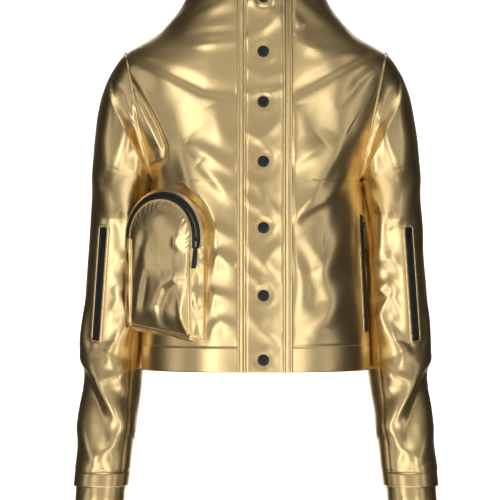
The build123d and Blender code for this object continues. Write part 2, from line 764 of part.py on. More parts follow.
with BuildPart() as pocket_zip_stops:
    for angle in (TRACK[0] + 0.2, TRACK[1] - 1.8):
        for side in (-1, 1):
            edges = sorted((TRACK_MIDDLE + side * half_slot, TRACK_MIDDLE + side * (half_slot + STOP[0])))
            arch_band(edges, (TAPE_THICK + 0.05, TAPE_THICK + 1.0), angle, 1.6)
keep("pocket_zip_stops", pocket_zip_stops)


def wall_plane(angle, down, out):
    """Plane lying on the arched wall: x down the wall, y forward round the arch, z out from it."""
    section = arch_plane(angle)
    radius, height = wall_point(down, out)
    origin = POCKET.origin + section.x_dir * radius + POCKET.z_dir * height
    across = section.x_dir * LEAN_OUT - POCKET.z_dir * LEAN_BACK
    outward = section.x_dir * LEAN_BACK + POCKET.z_dir * LEAN_OUT
    return Plane(origin, x_dir=across, z_dir=outward)


POCKET_SLIDER = wall_plane(SLIDER_PARK, TRACK_MIDDLE, 0)
keep("pocket_zip_slider", zip_slider(POCKET_SLIDER))
POCKET_PIN = raised(POCKET_SLIDER, 0, PIN_HEIGHT)
POCKET_PULLER = swung(POCKET_PIN, PULLER_SWING)
keep("pocket_puller_link", puller_link(POCKET_PULLER, 7.0))
keep("pocket_puller_grip", puller_grip(POCKET_PULLER, 7.1, (6.4, 30.0, 2.2)))

# ---------------------------------------------------------------- write the parts
for name, part in pieces.items():
    export_step(part, f"parts/{name}.step")
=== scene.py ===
"""Looks of the snap-front jacket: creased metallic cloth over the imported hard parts. Metres, same frame."""

import json

import bpy
import numpy as np
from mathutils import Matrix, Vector


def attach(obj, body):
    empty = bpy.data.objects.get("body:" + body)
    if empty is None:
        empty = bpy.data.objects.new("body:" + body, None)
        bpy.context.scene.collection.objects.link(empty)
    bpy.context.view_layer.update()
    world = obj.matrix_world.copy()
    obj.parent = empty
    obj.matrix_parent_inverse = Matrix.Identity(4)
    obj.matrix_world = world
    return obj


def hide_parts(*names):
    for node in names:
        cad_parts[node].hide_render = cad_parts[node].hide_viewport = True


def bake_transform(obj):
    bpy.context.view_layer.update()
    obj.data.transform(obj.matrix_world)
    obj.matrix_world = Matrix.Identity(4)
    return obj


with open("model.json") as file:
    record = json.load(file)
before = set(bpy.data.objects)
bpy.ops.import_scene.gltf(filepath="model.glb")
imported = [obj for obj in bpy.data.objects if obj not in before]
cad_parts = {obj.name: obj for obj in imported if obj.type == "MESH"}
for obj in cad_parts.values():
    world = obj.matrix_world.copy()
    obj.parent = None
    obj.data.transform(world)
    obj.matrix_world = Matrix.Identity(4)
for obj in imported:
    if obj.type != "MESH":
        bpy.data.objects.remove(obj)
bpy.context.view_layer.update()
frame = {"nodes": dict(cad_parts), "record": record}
MM = 0.001

# ---------------------------------------------------------------- the jacket's shape, in millimetres
FRONT_SLOPE = np.tan(np.radians(4.0))
TORSO = np.array([
    (80, 84, 8), (0, 95, 6), (-28, 111, 15), (-53, 133.5, 26), (-67, 153, 32), (-80, 181, 37), (-92, 195, 41),
    (-110, 202, 46), (-150, 198, 54), (-220, 171, 60), (-266, 149, 57), (-333, 152.5, 50), (-494, 160, 50),
    (-530, 161, 52),
])
SLEEVE_HEAD = np.array([(78.5, 190, 56), (66, 161, 58), (52, 124, 58), (34, 99, 56), (14, 88.5, 54)])
SLEEVE_ARM = np.array([
    (-271, 151, 233, -37, 53), (-310, 149, 237, -20, 51), (-500, 154.5, 248, -18, 47),
    (-560, 163, 246, -28, 45), (-613, 170, 250, -44, 43), (-693, 180, 257, -66, 40),
])
SHOULDER = (183.4, -79.8)
UNDERARM = (145.6, -266.0)
SIDE_Y = -55.0
HEM, HEM_STITCH, COLLAR_TOP = -530.0, -494.0, 80.0
FLAP_LEFT, FLAP_RIGHT, FRONT_EDGE = -17.5, 41.3, -12.0
CLOTH, HALF_GAP = 1.4, 0.3
SNAP_X = 9.8
SNAP_Z = [59.0, -11.0, -87.0, -157.0, -239.5, -331.0, -424.5, -513.0]


def front_y(z):
    return -137.0 + z * FRONT_SLOPE


def smooth_levels(table, z, spread=9.0):
    """Values of a table's columns at heights z, with its corners rounded off."""
    order = np.argsort(table[:, 0])
    heights = table[order, 0]
    total = 0.0
    for offset, weight in ((-1.5, 0.12), (-0.75, 0.23), (0, 0.30), (0.75, 0.23), (1.5, 0.12)):
        at = np.clip(z + offset * spread, heights[0], heights[-1])
        columns = [np.interp(at, heights, table[order, c]) for c in range(1, table.shape[1])]
        total = total + weight * np.stack(columns)
    return total


# ---------------------------------------------------------------- noise and folds
def value_noise(p, seed):
    """Smooth noise between -1 and 1 at points p, an array (..., 3)."""
    cell = np.floor(p)
    part = p - cell
    part = part * part * (3 - 2 * part)
    total = 0.0
    for corner in range(8):
        side = np.array([corner & 1, corner >> 1 & 1, corner >> 2 & 1])
        at = (cell + side) @ np.array([127.1, 311.7, 74.7]) + seed * 17.3
        height = np.modf(np.abs(np.sin(at) * 43758.5453))[0] * 2 - 1
        share = np.prod(np.where(side == 1, part, 1 - part), axis=-1)
        total = total + height * share
    return total


def crinkle(p, size, seed, octaves=3):
    """Layered noise. Size is the largest crease's width in millimetres, along each axis."""
    total, strength = 0.0, 1.0
    q = p / np.array(size)
    for octave in range(octaves):
        total = total + strength * value_noise(q, seed + octave)
        q = q * 2.1 + 5.2
        strength *= 0.45
    return total


def fold(x, z, path, height, left, right, sharp=2.0):
    """Crease along a path of (x, z) points, fading at both ends. left and right are its two flanks' widths."""
    path = np.array(path, float)
    lengths = np.linalg.norm(np.diff(path, axis=0), axis=1)
    total = lengths.sum()
    nearest = np.full(x.shape, 1e9)
    side = np.zeros(x.shape)
    along = np.zeros(x.shape)
    run = 0.0
    for start, end, length in zip(path, path[1:], lengths):
        dx, dz = (end - start) / length
        t = np.clip((x - start[0]) * dx + (z - start[1]) * dz, 0, length)
        off_x, off_z = x - start[0] - t * dx, z - start[1] - t * dz
        distance = np.hypot(off_x, off_z)
        closer = distance < nearest
        nearest = np.where(closer, distance, nearest)
        side = np.where(closer, dx * off_z - dz * off_x, side)
        along = np.where(closer, (run + t) / total, along)
        run += length
    width = np.where(side > 0, left, right)
    fade = np.sin(np.pi * np.clip(along * 0.92 + 0.04, 0, 1)) ** 0.6
    return height * fade * np.exp(-((nearest / width) ** sharp))


def folds(x, z, table, spread=1.9, strength=0.8):
    """All creases of a table, with their flanks widened by spread and their heights scaled by strength."""
    total = np.zeros(x.shape)
    for path, height, left, right in table:
        total += fold(x, z, path, height * strength, left * spread, right * spread)
    return total


def step(value, low, high):
    """Smooth step from 0 at low to 1 at high."""
    t = np.clip((value - low) / (high - low), 0, 1)
    return t * t * (3 - 2 * t)


# Creases of the front, in (x, z), with height and the two flanks' widths.
FRONT_FOLDS = [
    ([(-176, -86), (-116, -117), (-72, -139), (-20, -146)], -3.0, 6, 4),
    ([(-160, -96), (-110, -126), (-70, -152), (-30, -160)], 1.8, 12, 12),
    ([(174, -78), (110, -112), (48, -146)], -3.0, 4, 6),
    ([(160, -96), (110, -126), (60, -160)], 1.8, 12, 12),
    ([(176, -98), (146, -126), (120, -158)], -2.2, 3, 5),
    ([(-176, -122), (-154, -160), (-138, -192), (-129, -218), (-130, -234), (-148, -244)], -6.5, 2.4, 1.8),
    ([(-178, -140), (-164, -180), (-150, -222)], 7.5, 12, 11),
    ([(-30, -10), (-66, -28), (-106, -50)], 4.2, 7, 4),
    ([(-58, -8), (-90, -26), (-122, -46)], 3.6, 5, 4),
    ([(-24, -46), (-70, -50), (-120, -60)], 2.4, 5, 6),
    ([(-22, -70), (-55, -74), (-92, -74)], 2.8, 4, 6),
    ([(52, -8), (88, -36), (118, -56), (142, -74)], 4.4, 4, 7),
    ([(80, -8), (104, -34), (130, -56)], 3.4, 4, 5),
    ([(40, -60), (72, -76), (100, -82)], 3.2, 4, 6),
    ([(44, -30), (66, -52)], 2.6, 4, 5),
    ([(-96, -214), (-62, -232), (-28, -254)], 3.6, 7, 5),
    ([(-78, -240), (-56, -262), (-34, -290)], 3.8, 8, 5),
    ([(-104, -214), (-92, -262), (-84, -300), (-72, -350)], 4.4, 12, 7),
    ([(92, -212), (70, -228), (46, -244)], 3.4, 5, 9),
    ([(120, -206), (96, -246), (70, -290), (44, -322)], 5.2, 6, 14),
    ([(122, -262), (90, -292), (62, -310), (44, -330)], 4.0, 5, 8),
    ([(150, -170), (122, -222), (104, -276), (96, -330)], 5.0, 9, 16),
    ([(64, -336), (92, -380), (104, -430), (98, -470)], 4.5, 12, 8),
    ([(120, -330), (104, -372), (74, -408)], 3.6, 9, 7),
    ([(42, -350), (60, -394), (64, -440)], 3.4, 7, 7),
    ([(130, -400), (108, -440), (70, -478)], 3.2, 8, 8),
    ([(-76, -352), (-54, -334), (-28, -346)], 3.6, 5, 6),
    ([(-74, -392), (-50, -370), (-28, -386)], 3.8, 5, 6),
    ([(-78, -446), (-58, -424), (-30, -430)], 3.4, 5, 6),
    ([(-70, -478), (-48, -462), (-28, -470)], 2.6, 5, 6),
    ([(-60, -160), (-48, -196), (-34, -226)], 3.2, 8, 9),
    ([(56, -160), (60, -196), (48, -230)], 3.2, 9, 7),
    ([(-150, -100), (-120, -160), (-90, -200)], 2.6, 14, 14),
]
# Creases of the snap flap.
FLAP_FOLDS = [
    ([(-22, -76), (4, -58), (34, -36)], 2.6, 5, 5),
    ([(-16, -4), (10, -28), (36, -34)], 2.2, 4, 5),
    ([(-16, -108), (12, -122), (38, -116)], 1.6, 5, 5),
    ([(-22, -144), (8, -146), (40, -138)], 1.8, 3, 4),
    ([(-14, -196), (8, -210), (30, -232)], 2.6, 6, 4),
    ([(-16, -262), (6, -272), (14, -296), (32, -318)], 2.6, 5, 5),
    ([(-18, -290), (4, -304), (24, -326)], 2.0, 5, 4),
    ([(-14, -352), (10, -378), (32, -404)], 2.6, 6, 5),
    ([(-16, -392), (2, -402), (18, -420)], 1.8, 5, 4),
    ([(-12, -446), (8, -470), (34, -492)], 2.4, 6, 5),
    ([(34, -182), (16, -196), (-14, -214)], 1.4, 5, 5),
    ([(36, -352), (20, -366), (4, -392)], 1.8, 5, 5),
]
# Creases of the right sleeve, in (x, z) seen from the front. The left sleeve mirrors them.
SLEEVE_FOLDS = [
    ([(-188, -100), (-206, -150), (-212, -210), (-206, -270)], 4.0, 9, 12),
    ([(-166, -150), (-178, -200), (-194, -250)], 4.4, 6, 8),
    ([(-150, -200), (-170, -256), (-190, -300)], 4.6, 5, 8),
    ([(-158, -262), (-182, -310), (-178, -356), (-166, -380)], 4.4, 6, 6),
    ([(-228, -250), (-214, -290), (-208, -318)], 2.6, 6, 6),
    ([(-172, -378), (-190, -374), (-206, -382)], 2.8, 5, 7),
    ([(-170, -420), (-188, -412), (-204, -424)], 3.2, 5, 6),
    ([(-206, -448), (-190, -430), (-170, -460)], 3.4, 5, 8),
    ([(-172, -448), (-190, -480), (-204, -506)], 4.8, 8, 6),
    ([(-254, -508), (-234, -528), (-216, -560), (-190, -606), (-180, -618)], 7.0, 11, 5),
    ([(-252, -526), (-236, -548), (-222, -590), (-206, -640)], -5.0, 6, 8),
    ([(-212, -500), (-196, -530), (-180, -566)], 4.6, 8, 7),
    ([(-176, -520), (-196, -540), (-214, -544)], 3.0, 6, 5),
    ([(-250, -560), (-246, -610), (-226, -656)], 4.4, 9, 7),
    ([(-188, -610), (-208, -640), (-232, -664)], 3.6, 7, 6),
    ([(-240, -440), (-244, -480), (-250, -506)], 3.4, 6, 6),
]


# ---------------------------------------------------------------- surfaces
def torso_oval(z):
    """The body's oval at height z: half width, middle y and half depth."""
    half_width, rear = smooth_levels(TORSO, z)
    return half_width, (front_y(z) + rear) / 2, (rear - front_y(z)) / 2


def torso_points(x_or_angle, z, grow, by_x=False):
    """Points and outward directions of the body, by angle or by x on the front."""
    half_width, middle, half_depth = torso_oval(z)
    a, b = half_width + grow, half_depth + grow
    if by_x:
        angle = -np.arccos(np.clip(x_or_angle / a, -1, 1))
    else:
        angle = x_or_angle
    p = np.stack([a * np.cos(angle), middle + b * np.sin(angle), z + 0 * angle], -1)
    n = np.stack([b * np.cos(angle), a * np.sin(angle), 0 * angle], -1)
    return p, n / np.linalg.norm(n, axis=-1, keepdims=True)


def snap_puckers(x, z):
    """Cloth pulled in at each snap, with a soft raised ring and short rays round it."""
    total = np.zeros(x.shape)
    for number, height in enumerate(SNAP_Z):
        dx, dz = x - SNAP_X, z - height
        r = np.hypot(dx, dz)
        turn = np.arctan2(dz, dx)
        rays = 0.55 + 0.30 * np.sin(2 * turn + number * 1.7) + 0.18 * np.sin(5 * turn + number * 2.9)
        total += (2.0 if number == 1 else 0.6) * rays * np.exp(-(((r - 14) / 5) ** 2))
    return total


def near_snaps(x, z, reach):
    total = np.ones(x.shape)
    for height in SNAP_Z:
        r = np.hypot(x - SNAP_X, z - height)
        total *= step(r, reach * 0.85, reach * 1.6)
    return total


def groove(value, at, width=1.1, depth=0.9):
    return -depth * np.exp(-(((value - at) / width) ** 2))


# Straight zips: lower end, upper end, outward direction and length.
def strip_axes(low, high, outward):
    up = (high - low) / np.linalg.norm(high - low)
    across = np.cross(up, outward)
    across /= np.linalg.norm(across)
    return low, across, up, np.cross(across, up)


def torso_spot(z, angle):
    """Point of the body's side, straight between the table's heights, as the hard parts have it."""
    half_width, rear = [np.interp(z, TORSO[::-1, 0], TORSO[::-1, c]) for c in (1, 2)]
    middle, half_depth = (front_y(z) + rear) / 2, (rear - front_y(z)) / 2
    return np.array([half_width * np.cos(angle), middle + half_depth * np.sin(angle), z])


def sleeve_spot(z, angle):
    """Point of the sleeve, straight between the table's heights."""
    inner, outer, y, half_depth = [np.interp(z, SLEEVE_ARM[::-1, 0], SLEEVE_ARM[::-1, c]) for c in (1, 2, 3, 4)]
    x = (inner + outer) / 2 + (outer - inner) / 2 * np.cos(angle)
    return np.array([x, y + half_depth * np.sin(angle), z])


SIDE_ZIP_ANGLE = np.radians(-14)
SLEEVE_ZIP_ANGLES = np.radians((-56.5, -61))
SIDE_ZIP = strip_axes(
    torso_spot(-474, SIDE_ZIP_ANGLE), torso_spot(-314, SIDE_ZIP_ANGLE), np.array([0.941, -0.338, 0]))
SLEEVE_ZIP = strip_axes(
    sleeve_spot(-487, SLEEVE_ZIP_ANGLES[0]), sleeve_spot(-331, SLEEVE_ZIP_ANGLES[1]), np.array([0.55, -0.835, 0]))
SIDE_LENGTH, SLEEVE_LENGTH = 160.0, 156.0


def zip_local(p, axes):
    """A point's place across, along and out from a zip."""
    low, across, up, out = axes
    d = p - low
    return d @ across, d @ up, d @ out


def zip_mask(p, axes, length):
    """Two arrays: 0 on the zip's frame rising to 1 well away, and True inside its opening."""
    u, v, w = zip_local(p, axes)
    beyond = np.maximum(np.abs(v - length / 2) - length / 2, 0)
    reach = np.maximum(np.abs(u) - 9, 0) + beyond
    close = np.abs(w) < 25
    calm = np.where(close, step(reach, 3, 22), 1)
    window = close & (np.abs(u) < 6.0) & (v > -2.2) & (v < length + 2.2)
    return calm, window


POCKET_C = np.array([-133.8, -130.0, -344.4])
TURN = np.radians(35.0)
POCKET_X = np.array([np.cos(TURN), -np.sin(TURN), 0])
POCKET_Y = np.array([0, 0, 1.0])
POCKET_N = np.array([-np.sin(TURN), -np.cos(TURN), 0])


def pocket_cover(p):
    """1 where the cloth lies under the arched pocket and 0 well outside it."""
    d = p - POCKET_C
    u, v = d @ POCKET_X, d @ POCKET_Y
    r = np.where(v > 0, np.hypot(u, v), np.abs(u))
    inside = 1 - step(r, 66, 80)
    return inside * step(v, -160, -140)


def body_shift(x, z, p, front):
    """How far the body's cloth stands off the plain shape, in millimetres."""
    total = 1.5 * crinkle(p, (62, 80, 80), 3, 2) + 0.10 * crinkle(p, (16, 18, 18), 11, 1)
    if front:
        total = total + folds(x, z, FRONT_FOLDS)
        calm = step(np.minimum(np.abs(x - FLAP_LEFT + 4), np.abs(x - 46)), 0, 9)
        under = (x > FLAP_LEFT - 4) & (x < 46)
        total = total * np.where(under, 0.0, calm) - np.where(under, 0.4, 0)
        total = total * (1 - pocket_cover(p)) - 1.0 * pocket_cover(p)
        calm, window = zip_mask(p, SIDE_ZIP, SIDE_LENGTH)
        total = np.where(window, -4.0, total * calm)
    else:
        total = total + folds(x, z, BACK_FOLDS)
    reach = np.abs(p[..., 0])
    total = total + 2.6 * np.exp(-(((z + 305) / 45) ** 2)) * step(reach, 138, 150)
    below = step(-z, -HEM_STITCH - 2, -HEM_STITCH + 3)
    total = total * (1 - 0.55 * below) + 0.5 * below + groove(z, HEM_STITCH)
    return total


BACK_FOLDS = [
    ([(-165, -95), (-80, -130), (0, -140), (80, -130), (165, -95)], 3.0, 10, 10),
    ([(-150, -190), (-90, -230), (-40, -250)], 3.6, 8, 10),
    ([(150, -190), (90, -230), (40, -250)], 3.6, 10, 8),
    ([(-120, -280), (-60, -310), (20, -330)], 3.4, 9, 9),
    ([(120, -300), (60, -340), (-10, -370)], 3.4, 9, 9),
    ([(-110, -380), (-90, -430), (-60, -480)], 3.0, 9, 9),
    ([(100, -400), (80, -440), (50, -480)], 3.0, 9, 9),
    ([(-60, -20), (-30, -60), (-20, -110)], 2.6, 8, 8),
    ([(60, -20), (30, -60), (20, -110)], 2.6, 8, 8),
]


def side_angles(z):
    """Angle of the side seam or armhole edge at each height: front edge and back edge, on the +x side."""
    half_width, middle, half_depth = torso_oval(z)
    seam = np.arcsin(np.clip((SIDE_Y - middle) / half_depth, -1, 1))
    share = (z - UNDERARM[1]) / (SHOULDER[1] - UNDERARM[1])
    arm_x = UNDERARM[0] + share * (SHOULDER[0] - UNDERARM[0])
    open_angle = np.arccos(np.clip((arm_x + 0.6) / half_width, -1, 1))
    at_arm = (share > 0) & (share < 1)
    front = np.where(at_arm, np.minimum(-open_angle, seam), seam)
    back = np.where(at_arm, np.maximum(open_angle, seam), seam)
    return front, back


# ---------------------------------------------------------------- meshes
def grid_object(name, points, closed=False):
    """Mesh object from rows and columns of points in millimetres."""
    rows, columns = points.shape[:2]
    index = np.arange(rows * columns).reshape(rows, columns)
    if closed:
        index = np.concatenate([index, index[:, :1]], axis=1)
    quads = np.stack([index[:-1, :-1], index[:-1, 1:], index[1:, 1:], index[1:, :-1]], -1).reshape(-1, 4)
    mesh = bpy.data.meshes.new(name)
    mesh.from_pydata((points.reshape(-1, 3) * MM).tolist(), [], quads.tolist())
    mesh.polygons.foreach_set("use_smooth", [True] * len(mesh.polygons))
    mesh.update()
    piece = bpy.data.objects.new(name, mesh)
    bpy.context.collection.objects.link(piece)
    return piece


def thicken(piece, thickness, outer, inner, offset=-1.0):
    """Gives the cloth its thickness, with its own cloth inside."""
    piece.data.materials.append(outer)
    piece.data.materials.append(inner)
    solid = piece.modifiers.new("thickness", "SOLIDIFY")
    solid.thickness = thickness * MM
    solid.offset = offset
    solid.material_offset = 1
    solid.material_offset_rim = 0
    solid.use_even_offset = False
    bpy.context.view_layer.update()
    done = bpy.data.meshes.new_from_object(piece.evaluated_get(bpy.context.evaluated_depsgraph_get()))
    piece.modifiers.clear()
    piece.data = done
    return piece


def thread(name, path, normals, material, pitch=3.4, length=2.5, radius=0.33, rise=0.15):
    """Row of stitches along a path on the cloth."""
    gaps = np.linalg.norm(np.diff(path, axis=0), axis=1)
    run = np.concatenate([[0], np.cumsum(gaps)])
    starts = np.arange(0.3, run[-1] - length, pitch)
    vertices, faces = [], []
    sides = 6
    for start in starts:
        spots = start + length * np.array([0, 0.12, 0.5, 0.88, 1])
        centre = np.stack([np.interp(spots, run, path[:, c]) for c in range(3)], -1)
        normal = np.stack([np.interp(spots, run, normals[:, c]) for c in range(3)], -1)
        normal /= np.linalg.norm(normal, axis=1, keepdims=True) + 1e-9
        along = centre[-1] - centre[0]
        along /= np.linalg.norm(along) + 1e-9
        width = radius * np.array([0.25, 0.8, 1.0, 0.8, 0.25])
        lift = rise + radius * np.array([-1.2, 0.1, 0.5, 0.1, -1.2])
        base = len(vertices)
        for c, n, w, up in zip(centre, normal, width, lift):
            b = np.cross(along, n)
            for k in range(sides):
                a = 2 * np.pi * k / sides
                vertices.append((c + n * (up + w * np.sin(a)) + b * w * np.cos(a)) * MM)
        for ring in range(4):
            for k in range(sides):
                a, b = base + ring * sides + k, base + ring * sides + (k + 1) % sides
                faces.append((a, b, b + sides, a + sides))
    mesh = bpy.data.meshes.new(name)
    mesh.from_pydata([tuple(v) for v in vertices], [], faces)
    mesh.polygons.foreach_set("use_smooth", [True] * len(mesh.polygons))
    mesh.materials.append(material)
    piece = bpy.data.objects.new(name, mesh)
    bpy.context.collection.objects.link(piece)
    return piece


# ---------------------------------------------------------------- materials
def node_material(name):
    material = bpy.data.materials.new(name)
    material.use_nodes = True
    tree = material.node_tree
    return material, tree, tree.nodes["Principled BSDF"]


def noise_node(tree, coords, scale, detail, rough=0.5):
    node = tree.nodes.new("ShaderNodeTexNoise")
    node.inputs["Scale"].default_value = scale
    node.inputs["Detail"].default_value = detail
    node.inputs["Roughness"].default_value = rough
    tree.links.new(coords, node.inputs["Vector"])
    return node.outputs["Fac"]


def ramp(tree, value, low, high, low_at=0.35, high_at=0.65):
    node = tree.nodes.new("ShaderNodeValToRGB")
    node.color_ramp.elements[0].position = low_at
    node.color_ramp.elements[1].position = high_at
    node.color_ramp.elements[0].color = low
    node.color_ramp.elements[1].color = high
    tree.links.new(value, node.inputs["Fac"])
    return node.outputs["Color"]


def bump(tree, value, strength, distance, after=None):
    node = tree.nodes.new("ShaderNodeBump")
    node.inputs["Strength"].default_value = strength
    node.inputs["Distance"].default_value = distance
    tree.links.new(value, node.inputs["Height"])
    if after is not None:
        tree.links.new(after, node.inputs["Normal"])
    return node.outputs["Normal"]


def grey(v):
    return (v, v, v, 1)


def gold_cloth():
    """Metallic coated cloth, with slow changes of tone and shine over a fine grain."""
    material, tree, shader = node_material("gold_cloth")
    coords = tree.nodes.new("ShaderNodeTexCoord").outputs["Object"]
    shader.inputs["Metallic"].default_value = 1.0
    tone = noise_node(tree, coords, 9, 4)
    colour = ramp(tree, tone, (0.76, 0.575, 0.285, 1), (0.80, 0.61, 0.31, 1), 0.2, 0.8)
    tree.links.new(colour, shader.inputs["Base Color"])
    wear = noise_node(tree, coords, 22, 3, 0.5)
    tree.links.new(ramp(tree, wear, grey(0.30), grey(0.36), 0.2, 0.8), shader.inputs["Roughness"])
    fine = bump(tree, noise_node(tree, coords, 900, 2, 0.5), 0.12, 0.0002)
    soft = bump(tree, noise_node(tree, coords, 55, 2, 0.4), 0.10, 0.002, fine)
    tree.links.new(soft, shader.inputs["Normal"])
    return material


def woven(name, dark, light, roughness, scale=900.0):
    """Plain weave in two tones."""
    material, tree, shader = node_material(name)
    coords = tree.nodes.new("ShaderNodeTexCoord").outputs["Object"]
    checker = tree.nodes.new("ShaderNodeTexChecker")
    checker.inputs["Scale"].default_value = scale
    tree.links.new(coords, checker.inputs["Vector"])
    patches = noise_node(tree, coords, 25, 4)
    tree.links.new(ramp(tree, patches, dark, light, 0.2, 0.8), shader.inputs["Base Color"])
    shader.inputs["Roughness"].default_value = roughness
    tree.links.new(bump(tree, checker.outputs["Fac"], 0.35, 0.0004), shader.inputs["Normal"])
    return material


def hard(name, dark, light, metallic, low, high, bump_scale=260):
    """Coated metal or moulded plastic with slight wear."""
    material, tree, shader = node_material(name)
    coords = tree.nodes.new("ShaderNodeTexCoord").outputs["Object"]
    shader.inputs["Metallic"].default_value = metallic
    patches = noise_node(tree, coords, 130, 4)
    tree.links.new(ramp(tree, patches, dark, light), shader.inputs["Base Color"])
    tree.links.new(ramp(tree, patches, grey(low), grey(high)), shader.inputs["Roughness"])
    tree.links.new(bump(tree, noise_node(tree, coords, bump_scale, 2), 0.08, 0.0004), shader.inputs["Normal"])
    return material


gold = gold_cloth()
lining = woven("lining_weave", (0.10, 0.075, 0.045, 1), (0.14, 0.105, 0.065, 1), 0.8)
tape_black = woven("tape_weave", (0.008, 0.008, 0.008, 1), (0.016, 0.016, 0.017, 1), 0.75, 1400)
loop_black = woven("loop_weave", (0.012, 0.012, 0.013, 1), (0.02, 0.02, 0.02, 1), 0.7, 1100)
gold_thread = hard("gold_thread", (0.50, 0.36, 0.16, 1), (0.62, 0.46, 0.22, 1), 0.35, 0.42, 0.55, 700)
coil_black = hard("coil_black", (0.008, 0.008, 0.008, 1), (0.015, 0.015, 0.016, 1), 0.0, 0.4, 0.55)
zip_black = hard("zip_black", (0.012, 0.012, 0.013, 1), (0.022, 0.022, 0.024, 1), 0.6, 0.28, 0.42)
puller_black = hard("puller_black", (0.010, 0.010, 0.011, 1), (0.018, 0.018, 0.019, 1), 0.0, 0.35, 0.5)
snap_black = hard("snap_black", (0.012, 0.013, 0.015, 1), (0.024, 0.025, 0.028, 1), 0.25, 0.24, 0.36)
snap_metal = hard("snap_metal", (0.20, 0.16, 0.10, 1), (0.30, 0.25, 0.17, 1), 1.0, 0.3, 0.45)
link_metal = hard("link_metal", (0.30, 0.30, 0.31, 1), (0.42, 0.42, 0.43, 1), 1.0, 0.25, 0.4)

SLOT_LOOKS = {
    "shell": gold, "facing": lining, "loop_tape": loop_black, "zip_tape": tape_black, "zip_coil": coil_black,
    "zip_metal": zip_black, "puller": puller_black, "snap_black": snap_black, "snap_metal": snap_metal,
}
slots = {entry["node"]: entry["material_slot"] for entry in frame["record"]["subparts"]}
for node, part in frame["nodes"].items():
    part.data.materials.clear()
    part.data.materials.append(SLOT_LOOKS[slots[node]])
frame["nodes"]["pocket_puller_link"].data.materials[0] = link_metal


def finish_cloth(piece, body, nodes, blend=None):
    if nodes:
        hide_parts(*nodes)
    if blend is None:
        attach(piece, body)
    else:
        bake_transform(piece)


def declare(points, closed=False):
    """Takes the sheet's points before it was creased and, for a closed sheet, repeats the first column at the
    end; it keeps and returns nothing.
    """
    if closed:
        points = np.concatenate([points, points[:, :1]], axis=1)


# ---------------------------------------------------------------- the body
FRONT_COLUMNS, BACK_COLUMNS = 170, 230


def panel(name, side, front):
    """Front half (one side of the meeting edge) or whole back, from hem to neck seam."""
    z = np.linspace(HEM, -0.3, 300 if front else 230)
    edge_front, edge_back = side_angles(z)
    if front:
        half_width = torso_oval(z)[0]
        middle = -np.arccos(np.clip((FRONT_EDGE + side * HALF_GAP) / half_width, -1, 1))
        end = edge_front if side > 0 else -np.pi - edge_front
        share = np.linspace(0, 1, FRONT_COLUMNS)
        angle = middle[:, None] + (end - middle)[:, None] * share
    else:
        share = np.linspace(0, 1, BACK_COLUMNS)
        angle = edge_back[:, None] + (np.pi - 2 * edge_back)[:, None] * share
    heights = z[:, None] + 0 * angle
    p, n = torso_points(angle, heights, 0)
    plain = p
    shift = body_shift(p[..., 0], heights, p, front)
    # creases fade out over the last few columns before the side seam, and over the last rows before the neck
    to_seam = np.minimum(np.abs(share - 1), 1 if front else np.abs(share))
    shift = shift * step(to_seam * len(share), 0, 5)
    shift = shift * step(-heights, 0, 8)
    p = p + n * shift[..., None]
    piece = grid_object(name, p[:, ::-1] if side < 0 else p)
    thicken(piece, CLOTH, gold, lining)
    declare(plain)
    hem_row = int(np.argmin(np.abs(z - HEM_STITCH)))
    row = thread(f"{name}_hem_stitches", p[hem_row], n[hem_row], gold_thread)
    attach(row, "body")
    return piece


body_right = panel("body_front_right", -1, True)
body_left = panel("body_front_left", 1, True)
body_back = panel("body_back", 1, False)
finish_cloth(body_right, "body", ["front_right_panel"])
finish_cloth(body_left, "body", ["front_left_panel"])
finish_cloth(body_back, "body", ["back_panel", "hem_facing", "back_neck_facing"])

# ---------------------------------------------------------------- the collar
z = np.linspace(0.0, COLLAR_TOP, 60)
half_width = torso_oval(z)[0]
start = -np.arccos(np.clip((FRONT_EDGE + HALF_GAP) / half_width, -1, 1))
end = -np.arccos(np.clip((FRONT_EDGE - HALF_GAP) / half_width, -1, 1)) + 2 * np.pi
angle = start[:, None] + (end - start)[:, None] * np.linspace(0, 1, 300)
heights = z[:, None] + 0 * angle
p, n = torso_points(angle, heights, 0)
shift = 1.0 * crinkle(p, (40, 40, 60), 21) + 0.3 * crinkle(p, (10, 12, 14), 31, 2)
shift += 1.3 * np.sin(angle * 9 + heights * 0.05) * step(heights, 0, 20)
under = (p[..., 0] > FLAP_LEFT - 6) & (p[..., 0] < 48) & (p[..., 1] < -60)
shift = np.where(under, -0.3, shift) * step(heights, 0, 8)
collar = grid_object("collar_cloth", p + n * shift[..., None])
thicken(collar, CLOTH, gold, lining)
declare(p)
finish_cloth(collar, "body", ["collar", "collar_facing"])


# ---------------------------------------------------------------- bands and flap
def strip(name, left, right, low, high, layer, thickness, table, puckers, body, nodes):
    """Long strip on the front, between two x and two heights, its inner face at the given layer."""
    x = np.linspace(left, right, max(8, int((right - left) / 1.1)))
    z = np.linspace(low, high, int((high - low) / 1.6))
    xs, zs = np.meshgrid(x, z)
    p, n = torso_points(xs, zs, layer + thickness, by_x=True)
    shift = folds(xs, zs, table) + 0.35 * crinkle(p, (26, 26, 34), 41, 2)
    if puckers:
        shift = shift * near_snaps(xs, zs, 10.5) + snap_puckers(xs, zs)
    calm = step(np.minimum(xs - left, right - xs), 0, 7)
    shift = np.maximum(shift * (0.25 + 0.75 * calm), -0.3)
    shift += groove(xs, left + 4.5, 1.0, 0.5) + groove(xs, right - 4.5, 1.0, 0.5)
    roll = 1 - np.exp(-np.minimum(xs - left, right - xs) / 0.8)
    shift -= 0.5 * (1 - roll)
    piece = grid_object(name, p + n * shift[..., None])
    thicken(piece, thickness, gold, gold)
    declare(p)
    finish_cloth(piece, body, nodes)
    return xs, p + n * shift[..., None], n


